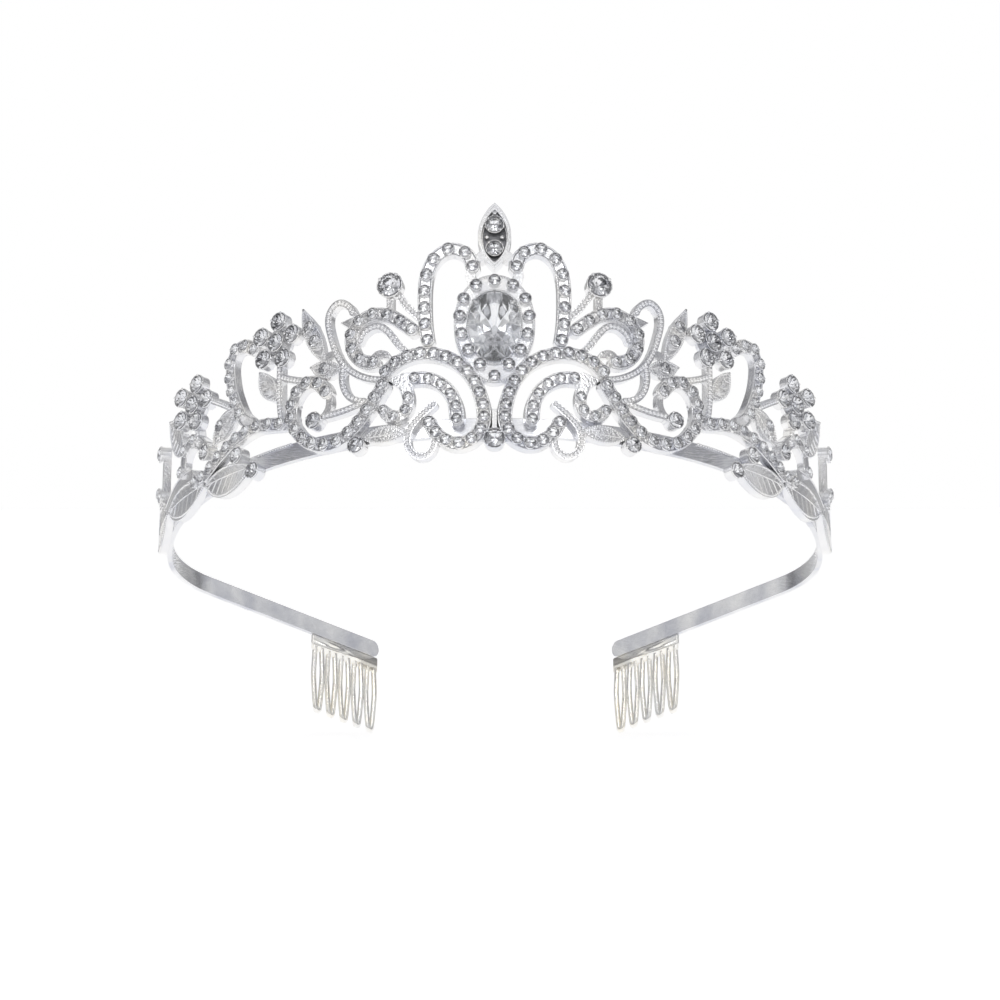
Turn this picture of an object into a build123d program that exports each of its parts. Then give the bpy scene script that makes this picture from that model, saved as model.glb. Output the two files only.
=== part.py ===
from build123d import *
import os
from math import cos, pi, radians, sin

# Bridal tiara: a sprung horseshoe headband, openwork castings soldered to the outside of
# its front half, stones set in cups on the castings, and a comb under each band end.
#
# The model is drawn with the band level and turned at the end to the way it is worn.
# Places on the castings are (along, up): millimetres along the wall from the front
# centre, and millimetres above the middle of the band. The right half (+X) is drawn
# and the left half is its mirror image.

# ---- headband ----
band_radius = 66.5
band_height = 3.6
band_thickness = 1.0
band_end_rounding = 1.75
arm_radius = 28.0
arm_turn = 40.0
arm_length = 52.8
worn_tilt = 22.0

# ---- combs ----
comb_length = 21.0
comb_thickness = 0.8
comb_spine = 1.7
comb_teeth = 5
tooth_width = 3.3
tooth_reach = 17.7
tooth_slit = 0.9
slit_margin = 1.7

# ---- castings ----
wall_radius = 68.5
wall_inner = band_radius + band_thickness / 2
casting_thickness = 1.6
wall_top = 60.0
smallest_piece = 0.5
drafting_radius = 45.0
strand_width = 2.7
curl_width = 2.3
wire_width = 1.4
milled_width = 1.9

# ---- stones and cups ----
stone_sides = 8
stone_clearance = 0.02
cup_wall = 0.25
cup_proud = 0.7
strand_stone = 1.0
curl_stone = 0.88
leaf_stone = 1.1
drop_stone = 1.4
flower_stone = 1.6
ball_stone = 2.1
centre_stone = 1.7

crown_share = 0.35
pavilion_share = 0.75
table_share = 0.58
culet_share = 0.1

# ---- flowers ----
flower_reach = 4.2
flower_petals = 5
flower_disc = 3.4
flower_plate = 0.8
flower_proud = 1.0
flower_post = 1.2
post_length = 0.6

# ---- navette finial and centre crystal ----
navette_top = 45.7
navette_bottom = 31.5
navette_half_width = 3.2
navette_rim = 0.7
navette_depth = 2.2
navette_floor = 0.7
navette_gap = 0.6
navette_stones = ((41.3, 1.5), (36.3, 1.4))
navette_shoulder = 1.0
navette_shoulder_out = 2.6
navette_shoulder_up = 34.2

crystal_half_width = 5.0
crystal_half_height = 7.4
crystal_centre = 19.9
crystal_narrowing = 0.12
crystal_sides = 16
crystal_crown = 2.0
crystal_pavilion = 3.4
crystal_table = 0.55
crystal_keel = 0.12
crystal_girdle_out = 0.25
gallery_hole_share = 0.94

gallery_half_width = 7.7
gallery_half_height = 11.35
gallery_centre = 19.6

os.makedirs("parts", exist_ok=True)
finished = {}


# ---- places on the wall ----
def panel(along):
    """Flat drafting plane that faces the wall squarely at one place along it."""
    turn = along / wall_radius
    outward = (sin(turn), -cos(turn), 0)
    return Plane(
        origin=tuple(drafting_radius * part for part in outward),
        x_dir=(cos(turn), sin(turn), 0),
        z_dir=outward,
    )


def on_panel(point, centre):
    """A place on the wall, as it falls on the drafting plane at centre."""
    along, up = point
    return (wall_radius * sin((along - centre) / wall_radius), up)


def seat(point, radius, turned=0.0):
    """Plane at one place on the wall, facing out, turned towards the front by degrees."""
    along, up = point
    place = along / wall_radius
    facing = place - radians(turned)
    return Plane(
        origin=(radius * sin(place), -radius * cos(place), up),
        x_dir=(cos(facing), sin(facing), 0),
        z_dir=(sin(facing), -cos(facing), 0),
    )


def spaced(points, count):
    """Evenly spaced places along the smooth line through the given points."""
    line = Spline(*points, mode=Mode.PRIVATE)
    step = line.length / (count - 1)
    places = []
    for index in range(count):
        spot = line.position_at(index * step, position_mode=PositionMode.LENGTH)
        places.append((spot.X, spot.Y))
    return places


# ---- stones ----
def cut_stone(radius):
    """Round stone with a flat table, its girdle on the XY plane."""
    with BuildPart() as stone:
        with BuildSketch(Plane.XY.offset(-pavilion_share * radius)):
            RegularPolygon(culet_share * radius, stone_sides)
        with BuildSketch(Plane.XY):
            RegularPolygon(radius, stone_sides)
        loft()
        with BuildSketch(Plane.XY):
            RegularPolygon(radius, stone_sides)
        with BuildSketch(Plane.XY.offset(crown_share * radius)):
            RegularPolygon(table_share * radius, stone_sides)
        loft()
    return stone.part


def cup_top(proud=cup_proud):
    return wall_inner + casting_thickness + proud


def stones(settings):
    """Stones of one casting: settings are (seat plane, stone radius)."""
    with BuildPart() as group:
        for plane, radius in settings:
            with Locations(plane):
                add(cut_stone(radius))
    return group.part


def cups(settings, depth):
    """Adds a cup under each stone to the part being built, and sinks its pocket."""
    for plane, radius in settings:
        with Locations(plane.offset(-depth)):
            Cylinder(radius + cup_wall, depth, align=(Align.CENTER, Align.CENTER, Align.MIN))
    for plane, radius in settings:
        pocket = pavilion_share * radius
        with Locations(plane.offset(-pocket)):
            Cylinder(
                radius + stone_clearance,
                pocket + radius,
                align=(Align.CENTER, Align.CENTER, Align.MIN),
                mode=Mode.SUBTRACT,
            )


# ---- castings ----
with BuildPart() as wall:
    Cylinder(wall_inner + casting_thickness, 2 * wall_top)
    Cylinder(wall_inner, 2 * wall_top, mode=Mode.SUBTRACT)


def wall_settings(places, radius):
    """Seats of stones of one size on the wall."""
    return [(seat(place, cup_top()), radius) for place in places]


def casting(centre, strands=(), leaves=(), plates=(), settings=(), notched_by=()):
    """One openwork casting.

    strands are (points, width), leaves are (base, side, tip, side), plates are corner
    lists. The casting is notched where it meets the castings it is soldered to.
    """
    with BuildPart() as piece:
        with BuildSketch(panel(centre)):
            for points, width in strands:
                flat = [on_panel(point, centre) for point in points]
                with BuildLine():
                    Spline(*flat)
                trace(line_width=width)
                with Locations(flat[0], flat[-1]):
                    Circle(width / 2)
            for base, side, tip, other_side in leaves:
                with BuildLine():
                    ThreePointArc(*[on_panel(point, centre) for point in (base, side, tip)])
                    ThreePointArc(*[on_panel(point, centre) for point in (tip, other_side, base)])
                make_face()
            for corners in plates:
                with BuildLine():
                    Polyline(*[on_panel(corner, centre) for corner in corners], close=True)
                make_face()
        extrude(amount=2 * (wall_radius - drafting_radius))
        add(wall.part, mode=Mode.INTERSECT)
        cups(settings, cup_top() - wall_inner)
        for other in notched_by:
            add(other, mode=Mode.SUBTRACT)
    return piece.part


def flower(place, turned, first_angle, notched_by=()):
    """Five round cups about a sixth, on a small plate that stands off the wall."""
    face = seat(place, cup_top(flower_proud), turned)
    spots = [(0, 0)]
    for petal in range(flower_petals):
        angle = radians(first_angle + petal * 360 / flower_petals)
        spots.append((flower_reach * cos(angle), flower_reach * sin(angle)))
    settings = []
    for across, up in spots:
        origin = face.from_local_coords((across, up, 0))
        settings.append((Plane(origin=origin, x_dir=face.x_dir, z_dir=face.z_dir), flower_stone))
    depth = flower_plate + pavilion_share * flower_stone
    with BuildPart() as piece:
        with BuildSketch(face.offset(-depth)):
            Circle(flower_disc)
        extrude(amount=flower_plate)
        with BuildSketch(face.offset(-depth)):
            Circle(flower_post)
        extrude(amount=-post_length)
        cups(settings, depth)
        for other in notched_by:
            add(other, mode=Mode.SUBTRACT)
    return piece.part, stones(settings)


def keep(name, piece):
    """Turns a piece to the way the tiara is worn, clears away offcuts, and writes it."""
    worn = piece.rotate(Axis.X, -worn_tilt)
    with BuildPart() as placed:
        add(worn.solids().filter_by(lambda solid: solid.volume > smallest_piece))
    placed.part.label = name
    export_step(placed.part, f"parts/{name}.step")
    finished[name] = placed.part


def twin(piece):
    """The left-hand mirror image of a right-hand piece."""
    with BuildPart() as mirrored:
        mirror(piece, about=Plane.YZ)
    return mirrored.part


def keep_pair(name, piece):
    """Keeps the right-hand piece as drawn and the left-hand piece as its mirror image."""
    keep(f"{name}_right", piece)
    keep(f"{name}_left", twin(piece))


# ---- headband ----
with BuildPart() as headband:
    with BuildSketch(Plane.XY.offset(-band_height / 2)):
        with BuildLine() as band_line:
            front = CenterArc((0, 0), band_radius, -90, 90)
            bend = JernArc(front @ 1, front % 1, arm_radius, arm_turn)
            Line(bend @ 1, bend @ 1 + arm_length * (bend % 1))
            mirror(about=Plane.YZ)
        trace(line_width=band_thickness)
    extrude(amount=band_height)
    end_corners = headband.edges().filter_by(lambda edge: abs(edge.length - band_thickness) < 0.01)
    fillet(end_corners, radius=band_end_rounding)
keep("headband", headband.part)

# ---- combs ----
arm_end = bend @ 1 + arm_length * (bend % 1)
arm_direction = bend % 1
comb_plane = Plane(
    origin=(arm_end.X, arm_end.Y, -band_height / 2),
    x_dir=(-arm_direction.X, -arm_direction.Y, 0),
    z_dir=(-arm_direction.Y, arm_direction.X, 0),
)
tooth_pitch = comb_length / comb_teeth
slit_length = tooth_reach - comb_spine - 2 * slit_margin
with BuildPart() as comb:
    with BuildSketch(comb_plane.offset(-comb_thickness / 2)):
        with Locations((comb_length / 2, -comb_spine / 2)):
            Rectangle(comb_length, comb_spine)
        for tooth in range(comb_teeth):
            middle = (tooth + 0.5) * tooth_pitch
            with Locations((middle, -tooth_reach / 2)):
                SlotOverall(tooth_reach, tooth_width, rotation=90)
            with Locations((middle, -(tooth_reach + comb_spine) / 2)):
                SlotOverall(slit_length, tooth_slit, rotation=90, mode=Mode.SUBTRACT)
    extrude(amount=comb_thickness)
keep_pair("comb", comb.part)

# ---- big scroll: the large ring beside the centre ----
big_scroll_line = [
    (20.9, 12.0), (18.7, 13.8), (15.0, 15.0), (11.0, 14.6), (7.4, 12.9), (4.3, 9.6),
    (2.5, 5.2), (2.0, 0.6), (3.6, -2.6), (7.0, -4.0), (10.3, -2.3), (12.3, 0.6),
]
big_scroll_settings = wall_settings(spaced(big_scroll_line, 18), strand_stone)
big_scroll = casting(11, [(big_scroll_line, strand_width)], settings=big_scroll_settings)
keep_pair("big_scroll", big_scroll)
keep_pair("big_scroll_stones", stones(big_scroll_settings))

# ---- lobe: the upright arch beside the crystal ----
lobe_line = [
    (4.2, 32.6), (5.2, 35.2), (8.2, 36.6), (11.4, 34.9), (13.1, 31.0), (13.4, 26.0),
    (13.2, 21.0), (12.7, 17.6),
]
lobe_settings = wall_settings(spaced(lobe_line, 9), strand_stone)
lobe_link = [(4.2, 32.0), (4.6, 30.8), (4.4, 29.8)]
lobe = casting(
    9,
    [(lobe_line, strand_width), (lobe_link, milled_width)],
    settings=lobe_settings,
    notched_by=[big_scroll],
)
keep_pair("lobe", lobe)
keep_pair("lobe_stones", stones(lobe_settings))

# ---- centre crystal, the gallery that holds it, and its halo ----
halo_line = [
    (0.0, 29.6), (3.4, 28.7), (5.8, 25.9), (6.6, 22.2), (6.2, 18.4), (4.8, 14.9),
    (2.6, 12.0), (0.0, 9.6),
]
halo_right = spaced(halo_line, 8)
halo_places = halo_right + [(-along, up) for along, up in halo_right[1:-1]]
halo_settings = wall_settings(halo_places, strand_stone)


def egg(half_width, half_height, centre):
    """Places round an upright oval that is narrower towards the bottom."""
    places = []
    for corner in range(crystal_sides):
        turn = 2 * pi * corner / crystal_sides
        across = half_width * (1 + crystal_narrowing * cos(turn)) * sin(turn)
        places.append((across, centre + half_height * cos(turn)))
    return places


def crystal_outline(share):
    """The crystal's outline, scaled about its middle."""
    return egg(share * crystal_half_width, share * crystal_half_height, crystal_centre)


crystal_girdle = wall_inner + casting_thickness + crystal_girdle_out
front_face = Plane(origin=(0, 0, 0), x_dir=(1, 0, 0), z_dir=(0, -1, 0))
with BuildPart() as gallery:
    with BuildSketch(panel(0)):
        with BuildLine():
            Spline(*egg(gallery_half_width, gallery_half_height, gallery_centre), periodic=True)
        make_face()
        with BuildLine():
            Polyline(*crystal_outline(gallery_hole_share), close=True)
        make_face(mode=Mode.SUBTRACT)
    extrude(amount=2 * (wall_radius - drafting_radius))
    add(wall.part, mode=Mode.INTERSECT)
    cups(halo_settings, cup_top() - wall_inner)
    for side in (big_scroll, twin(big_scroll), lobe, twin(lobe)):
        add(side, mode=Mode.SUBTRACT)
keep("centre_gallery", gallery.part)
keep("halo_stones", stones(halo_settings))

with BuildPart() as crystal:
    for share, step in ((crystal_keel, -crystal_pavilion), (crystal_table, crystal_crown)):
        with BuildSketch(front_face.offset(crystal_girdle)):
            with BuildLine():
                Polyline(*crystal_outline(1), close=True)
            make_face()
        with BuildSketch(front_face.offset(crystal_girdle + step)):
            with BuildLine():
                Polyline(*crystal_outline(share), close=True)
            make_face()
        loft()
keep("centre_crystal", crystal.part)

# ---- navette finial ----
navette_middle = (navette_top + navette_bottom) / 2
navette_back = wall_inner + navette_gap


def navette_outline(inset):
    """Boat-shaped outline, drawn inset from the bezel's outer edge."""
    half = navette_half_width - inset
    top = (0, navette_top - 2 * inset)
    bottom = (0, navette_bottom + 2 * inset)
    with BuildSketch() as boat:
        with BuildLine():
            ThreePointArc(top, (half, navette_middle), bottom)
            ThreePointArc(bottom, (-half, navette_middle), top)
        make_face()
    return boat.sketch


navette_settings = []
for up, radius in navette_stones:
    level = navette_back + navette_floor + pavilion_share * radius
    plane = Plane(origin=(0, -level, up), x_dir=(1, 0, 0), z_dir=(0, -1, 0))
    navette_settings.append((plane, radius))
with BuildPart() as navette:
    with BuildSketch(front_face.offset(navette_back)):
        add(navette_outline(0))
        for side in (-1, 1):
            with Locations((side * navette_shoulder_out, navette_shoulder_up)):
                Circle(navette_shoulder)
    extrude(amount=navette_depth)
    with BuildSketch(front_face.offset(navette_back + navette_floor)):
        add(navette_outline(navette_rim))
    extrude(amount=navette_depth, mode=Mode.SUBTRACT)
    for side in (lobe, twin(lobe), gallery.part):
        add(side, mode=Mode.SUBTRACT)
keep("navette_bezel", navette.part)
keep("navette_stones", stones(navette_settings))

# ---- inner scroll: satin plate, inner crescent and small ring curl ----
crescent_line = [(15.2, 10.0), (12.0, 9.5), (9.2, 7.5), (7.6, 4.8), (7.1, 1.0)]
ring_curl_line = [(17.2, 8.6), (16.4, 5.6), (17.3, 3.1), (19.3, 2.5), (21.2, 3.9)]
satin_plate = [(20.6, 10.3), (17.5, 11.4), (15.2, 11.2), (15.6, 8.6), (17.2, 7.4)]
inner_settings = wall_settings(
    spaced(crescent_line, 6) + spaced(ring_curl_line, 5)[1:], curl_stone
)
inner_scroll = casting(
    14,
    [(crescent_line, strand_width), (ring_curl_line, curl_width)],
    plates=[satin_plate],
    settings=inner_settings,
    notched_by=[big_scroll],
)
keep_pair("inner_scroll", inner_scroll)
keep_pair("inner_scroll_stones", stones(inner_settings))

# ---- lower strand: diagonal, the dip across the band, and the small S curl ----
lower_line = [
    (21.6, 9.2), (23.4, 6.4), (25.4, 3.6), (28.4, 0.5), (31.5, -0.9), (34.3, -0.9),
    (37.0, 0.2), (39.3, 2.3), (41.1, 5.2), (41.3, 8.3), (40.3, 10.9), (38.2, 12.6),
    (35.6, 12.3), (33.4, 9.9),
]
curl_tail = [(33.4, 9.9), (32.8, 7.2), (33.8, 5.2), (35.9, 4.4)]
lower_settings = wall_settings(spaced(lower_line, 16), strand_stone)
lower_settings += wall_settings([(35.9, 4.4), (26.7, -2.4)], drop_stone)
lower_strand = casting(
    31,
    [(lower_line, strand_width), (curl_tail, wire_width)],
    settings=lower_settings,
    notched_by=[big_scroll, inner_scroll],
)
keep_pair("lower_strand", lower_strand)
keep_pair("lower_strand_stones", stones(lower_settings))

# ---- side strand: runs outward from the S curl, with the outer lobe on it ----
side_line = [
    (44.0, 5.7), (47.3, 6.4), (50.2, 6.8), (53.0, 6.6), (57.8, 5.4), (62.6, 3.4),
    (66.5, 1.7), (70.2, 1.5),
]
outer_lobe_line = [
    (51.2, 23.4), (53.8, 25.0), (56.8, 25.2), (58.5, 23.0), (58.5, 19.8), (57.7, 16.5),
    (56.3, 13.2), (54.4, 10.0), (52.9, 8.6),
]
side_settings = wall_settings(
    spaced(side_line, 10) + spaced(outer_lobe_line, 9)[:-1], strand_stone
)
side_strand = casting(
    56,
    [(side_line, strand_width), (outer_lobe_line, strand_width)],
    settings=side_settings,
    notched_by=[lower_strand],
)
keep_pair("side_strand", side_strand)
keep_pair("side_strand_stones", stones(side_settings))

# ---- upper scroll ----
upper_line = [
    (15.8, 20.2), (17.8, 21.9), (20.4, 23.7), (23.6, 24.4), (26.5, 23.3), (28.1, 20.8),
    (27.8, 17.6), (26.1, 15.2), (23.4, 14.3),
]
upper_hook = [(23.8, 14.6), (22.6, 16.0), (21.0, 15.6)]
upper_wire = [(26.4, 19.4), (25.2, 21.2), (22.8, 21.9), (20.8, 20.6), (19.2, 18.4), (17.6, 16.4)]
upper_spike = [(28.0, 24.6), (30.6, 23.9), (28.4, 22.2)]
upper_settings = wall_settings(spaced(upper_line, 9), strand_stone)
upper_scroll = casting(
    21,
    [(upper_line, strand_width), (upper_hook, wire_width), (upper_wire, wire_width)],
    plates=[upper_spike],
    settings=upper_settings,
    notched_by=[lobe, big_scroll],
)
keep_pair("upper_scroll", upper_scroll)
keep_pair("upper_scroll_stones", stones(upper_settings))

# ---- ball finial ----
ball_place = (20.2, 29.9)
ball_settings = wall_settings([ball_place], ball_stone)
ball_finial = casting(
    19,
    [([(20.4, 28.4), (20.3, 26.6), (20.4, 24.4)], wire_width),
     ([(18.8, 28.2), (16.8, 25.2), (14.6, 22.8)], wire_width)],
    settings=ball_settings,
    notched_by=[lobe, upper_scroll],
)
ball_stone_right = stones(ball_settings)
keep_pair("ball_finial", ball_finial)
with BuildPart() as ball_stones:
    add(ball_stone_right)
    add(twin(ball_stone_right))
keep("ball_finial_stones", ball_stones.part)

# ---- beaded loop with the two-stone leaf and the level leaf ----
loop_line = [
    (28.0, 25.6), (29.2, 27.4), (31.2, 28.2), (33.0, 26.6), (33.2, 23.6), (32.4, 20.6),
    (31.3, 17.5), (29.6, 14.8), (27.2, 12.6), (24.8, 11.3), (22.3, 10.6),
]
loop_branch = [(29.8, 14.6), (29.9, 11.0), (28.6, 8.2), (25.4, 6.6)]
loop_bridge = [(33.9, 5.0), (29.8, 5.3), (25.8, 6.3)]
tall_leaf = ((34.0, 16.2), (35.0, 22.8), (39.1, 28.5), (38.4, 21.6))
level_leaf = ((30.2, 14.2), (33.4, 16.5), (37.0, 15.8), (33.8, 12.9))
leaf_settings = wall_settings([(37.2, 24.2), (36.0, 21.0), (33.6, 14.7)], leaf_stone)
leaf_web = [(34.0, 16.8), (32.6, 17.6), (31.2, 17.4)]
beaded_loop = casting(
    31,
    [(loop_line, wire_width), (loop_branch, wire_width), (loop_bridge, wire_width),
     (leaf_web, wire_width)],
    leaves=[tall_leaf, level_leaf],
    settings=leaf_settings,
    notched_by=[upper_scroll, lower_strand, big_scroll, inner_scroll],
)
keep_pair("beaded_loop", beaded_loop)
keep_pair("leaf_stones", stones(leaf_settings))

# ---- flower stem with its leaf ----
stem_line = [(44.6, 19.0), (44.6, 14.0), (44.4, 10.0), (43.9, 6.8)]
stem_branch = [(44.5, 15.8), (41.5, 14.4), (39.2, 13.6)]
stem_leaf = ((45.0, 11.0), (49.2, 13.2), (49.8, 18.0), (46.0, 15.6))
stem_settings = wall_settings([(47.4, 14.3)], leaf_stone)
flower_stem = casting(
    44,
    [(stem_line, wire_width), (stem_branch, wire_width)],
    leaves=[stem_leaf],
    settings=stem_settings,
    notched_by=[lower_strand, side_strand, beaded_loop],
)

# ---- side spray: curl, leaves and fan ----
spray_curl = [(67.6, 8.2), (70.2, 10.2), (73.4, 11.2), (76.4, 9.6), (77.2, 6.0)]
spray_wire = [(58.4, 13.4), (61.0, 15.0), (64.6, 17.0)]
flower_spray = [(69.9, 10.0), (70.8, 13.6), (71.5, 18.5)]
flower_side_stem = [(71.5, 18.5), (75.4, 17.4), (78.0, 15.4)]
lobe_leaf = ((57.0, 12.8), (62.6, 11.6), (63.8, 7.0), (59.2, 8.4))
spiky_leaf = ((76.4, 9.6), (83.4, 12.6), (87.5, 21.0), (79.6, 17.0))
fan_leaf = ((67.0, 0.0), (77.0, 3.2), (86.0, 0.8), (75.5, -3.8))
low_leaf = ((51.4, -1.0), (59.4, 1.4), (66.4, -0.6), (59.6, -5.0))
spray_settings = wall_settings(spaced(spray_curl, 4)[1:], strand_stone)
spray_settings += wall_settings([(66.4, 6.5), (55.5, 2.3), (50.8, -2.2)], drop_stone)
spray_settings += wall_settings([(61.0, 10.2)], leaf_stone)
side_spray = casting(
    69,
    [(spray_curl, strand_width), (spray_wire, wire_width), (flower_spray, wire_width),
     (flower_side_stem, wire_width)],
    leaves=[lobe_leaf, spiky_leaf, fan_leaf, low_leaf],
    settings=spray_settings,
    notched_by=[side_strand],
)
keep_pair("side_spray", side_spray)

# ---- end terminal: the run outward to the last leaf, and the stalk with a stone ----
spray_run = [(73.4, 4.0), (78.0, 4.2), (83.0, 3.4), (90.0, 1.6)]
spray_stalk = [(95.0, 4.0), (95.6, 11.0), (96.0, 16.4)]
spray_fork = [(95.2, 5.0), (96.6, 8.4), (98.0, 9.4)]
end_leaf = ((87.0, 1.2), (96.0, 5.8), (103.4, 0.8), (96.0, -3.9))
end_settings = wall_settings([(96.0, 17.4)], drop_stone)
end_settings += wall_settings([(93.4, 6.8), (98.0, 9.4)], leaf_stone)
end_terminal = casting(
    90,
    [(spray_run, strand_width), (spray_stalk, milled_width), (spray_fork, wire_width)],
    leaves=[end_leaf],
    settings=end_settings,
    notched_by=[side_spray],
)
keep_pair("end_terminal", end_terminal)
keep_pair("side_spray_stones", stones(spray_settings + end_settings))

# ---- flowers ----
inner_flower, inner_flower_stones = flower(
    (45.1, 23.0), 0, 28, notched_by=[side_strand, flower_stem, beaded_loop]
)
outer_flower, outer_flower_stones = flower((71.5, 18.5), 14, 36, notched_by=[side_spray])
with BuildPart() as trimmed_stem:
    add(flower_stem)
    add(inner_flower, mode=Mode.SUBTRACT)
keep_pair("flower_stem", trimmed_stem.part)
keep_pair("inner_flower", inner_flower)
keep_pair("inner_flower_stones", inner_flower_stones)
keep_pair("outer_flower", outer_flower)
keep_pair("outer_flower_stones", outer_flower_stones)

# ---- teardrop loop and the leaf under the band ----
teardrop_line = [
    (11.6, 4.4), (13.6, 2.7), (16.0, 0.0), (16.6, -2.8), (15.6, -5.2), (13.5, -6.1),
    (11.9, -4.9), (11.5, -3.4),
]
under_leaf = ((25.4, -1.2), (21.0, 1.0), (16.4, -0.8), (21.0, -2.6))
teardrop_loop = casting(
    18,
    [(teardrop_line, wire_width)],
    leaves=[under_leaf],
    notched_by=[big_scroll, inner_scroll, lower_strand],
)
keep_pair("teardrop_loop", teardrop_loop)

# ---- centre bottom cup ----
centre_settings = wall_settings([(0.0, -3.2)], centre_stone)
centre_cup = casting(
    0,
    plates=[[(-0.45, -2.0), (0.45, -2.0), (0.45, 3.0), (-0.45, 3.0)]],
    settings=centre_settings,
    notched_by=[big_scroll, twin(big_scroll)],
)
keep("centre_cup", centre_cup)
keep("centre_cup_stone", stones(centre_settings))

print(len(finished), "pieces written")
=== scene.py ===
from math import cos, pi, radians, sin

import bmesh
import bpy
from mathutils import Matrix, Vector


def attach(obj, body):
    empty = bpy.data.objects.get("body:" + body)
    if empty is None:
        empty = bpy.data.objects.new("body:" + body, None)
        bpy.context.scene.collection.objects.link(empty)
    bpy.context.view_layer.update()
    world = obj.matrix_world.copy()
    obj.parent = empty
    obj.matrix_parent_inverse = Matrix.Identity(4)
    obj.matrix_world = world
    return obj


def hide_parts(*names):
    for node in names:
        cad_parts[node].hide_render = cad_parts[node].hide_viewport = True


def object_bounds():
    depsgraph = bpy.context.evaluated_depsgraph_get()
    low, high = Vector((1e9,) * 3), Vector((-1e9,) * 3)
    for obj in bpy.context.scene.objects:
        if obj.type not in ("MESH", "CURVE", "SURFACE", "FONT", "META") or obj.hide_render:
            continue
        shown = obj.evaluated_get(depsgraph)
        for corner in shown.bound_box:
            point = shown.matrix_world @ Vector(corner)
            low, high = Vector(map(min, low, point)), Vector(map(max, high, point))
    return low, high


# Bridal tiara: silver-plated openwork on a sprung headband, with foil-backed stones in
# claw cups, beaded wires, veined leaves and a comb under each band end.

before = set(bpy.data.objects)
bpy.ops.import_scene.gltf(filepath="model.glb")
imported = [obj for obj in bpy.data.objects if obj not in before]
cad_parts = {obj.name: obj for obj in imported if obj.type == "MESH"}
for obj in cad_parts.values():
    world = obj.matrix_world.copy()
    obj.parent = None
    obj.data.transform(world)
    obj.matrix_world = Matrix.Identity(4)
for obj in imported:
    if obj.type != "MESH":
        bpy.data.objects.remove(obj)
cad_low, cad_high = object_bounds()

MM = 0.001
WORN_TILT = radians(22)
WALL = 68.5  # radius that places along the castings are measured on
CASTING_FACE = 68.6  # radius of the castings' front
SIDES = ((1, "right"), (-1, "left"))

collection = bpy.context.scene.collection


# ---- places on the tiara, given in millimetres ----
def worn(x, y, z):
    """A place in the level band's own frame, turned to the way the tiara is worn."""
    tilt, rise = cos(WORN_TILT), sin(WORN_TILT)
    return Vector((x, y * tilt + z * rise, z * tilt - y * rise)) * MM


def on_wall(along, up, side=1, radius=CASTING_FACE):
    """A place on the castings: along the wall from the front centre, and up."""
    turn = along / WALL
    return worn(side * radius * sin(turn), -radius * cos(turn), up)


BAND_AXIS = worn(0, 0, 1).normalized()
FRONT = worn(0, -1, 0).normalized()


# ---- materials ----
EDGE_SOFTENING = 0.18 * MM
GRAIN_RELIEF = 0.2 * MM
TINT_SCALE, POLISH_SCALE, CLOUD_SCALE, BLOOM_SCALE = 130, 420, 900, 700
CLOUD_SHARE = 0.16
FOIL_METAL, FOIL_INDEX, GLASS_INDEX = 0.8, 1.55, 1.5
GLAZE_ROUGHNESS = 0.02


def shader(name):
    material = bpy.data.materials.new(name)
    material.use_nodes = True
    tree = material.node_tree
    return material, tree, tree.nodes["Principled BSDF"]


def set_values(bsdf, **values):
    """Sets plain values on sockets; an underscore stands for a space in a socket's name."""
    for label, value in values.items():
        bsdf.inputs[label.replace("_", " ")].default_value = value


def noise(tree, scale, detail, source):
    texture = tree.nodes.new("ShaderNodeTexNoise")
    texture.inputs["Scale"].default_value = scale
    texture.inputs["Detail"].default_value = detail
    tree.links.new(source, texture.inputs["Vector"])
    return texture.outputs["Fac"]


def ramp(tree, source, stops):
    """Colour ramp: stops are (position, colour)."""
    band = tree.nodes.new("ShaderNodeValToRGB")
    elements = band.color_ramp.elements
    while len(elements) < len(stops):
        elements.new(0.5)
    for element, (position, colour) in zip(elements, stops):
        element.position = position
        element.color = (*colour, 1)
    tree.links.new(source, band.inputs["Fac"])
    return band.outputs["Color"]


def remap(tree, source, low, high):
    node = tree.nodes.new("ShaderNodeMapRange")
    node.inputs["To Min"].default_value = low
    node.inputs["To Max"].default_value = high
    tree.links.new(source, node.inputs["Value"])
    return node.outputs["Result"]


def bump(tree, source, strength):
    """Fine grain over softened edges."""
    node = tree.nodes.new("ShaderNodeBump")
    edge = tree.nodes.new("ShaderNodeBevel")
    edge.inputs["Radius"].default_value = EDGE_SOFTENING
    tree.links.new(edge.outputs["Normal"], node.inputs["Normal"])
    node.inputs["Strength"].default_value = strength
    node.inputs["Distance"].default_value = GRAIN_RELIEF
    tree.links.new(source, node.inputs["Height"])
    return node.outputs["Normal"]


def plated_metal(name, cool, warm, rough, grain_scale, grain, stretch=(1, 1, 1)):
    """Plated metal: drifting tint, uneven polish and a fine cast or brushed grain."""
    material, tree, bsdf = shader(name)
    place = tree.nodes.new("ShaderNodeTexCoord").outputs["Object"]
    turned = tree.nodes.new("ShaderNodeMapping")
    turned.inputs["Scale"].default_value = stretch
    tree.links.new(place, turned.inputs["Vector"])
    tint = noise(tree, TINT_SCALE, 4, place)
    tree.links.new(ramp(tree, tint, ((0.3, cool), (0.7, warm))), bsdf.inputs["Base Color"])
    polish = noise(tree, POLISH_SCALE, 5, place)
    tree.links.new(remap(tree, polish, *rough), bsdf.inputs["Roughness"])
    fine = noise(tree, grain_scale, 3, turned.outputs["Vector"])
    tree.links.new(bump(tree, fine, grain), bsdf.inputs["Normal"])
    set_values(bsdf, Metallic=1.0)
    return material


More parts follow.
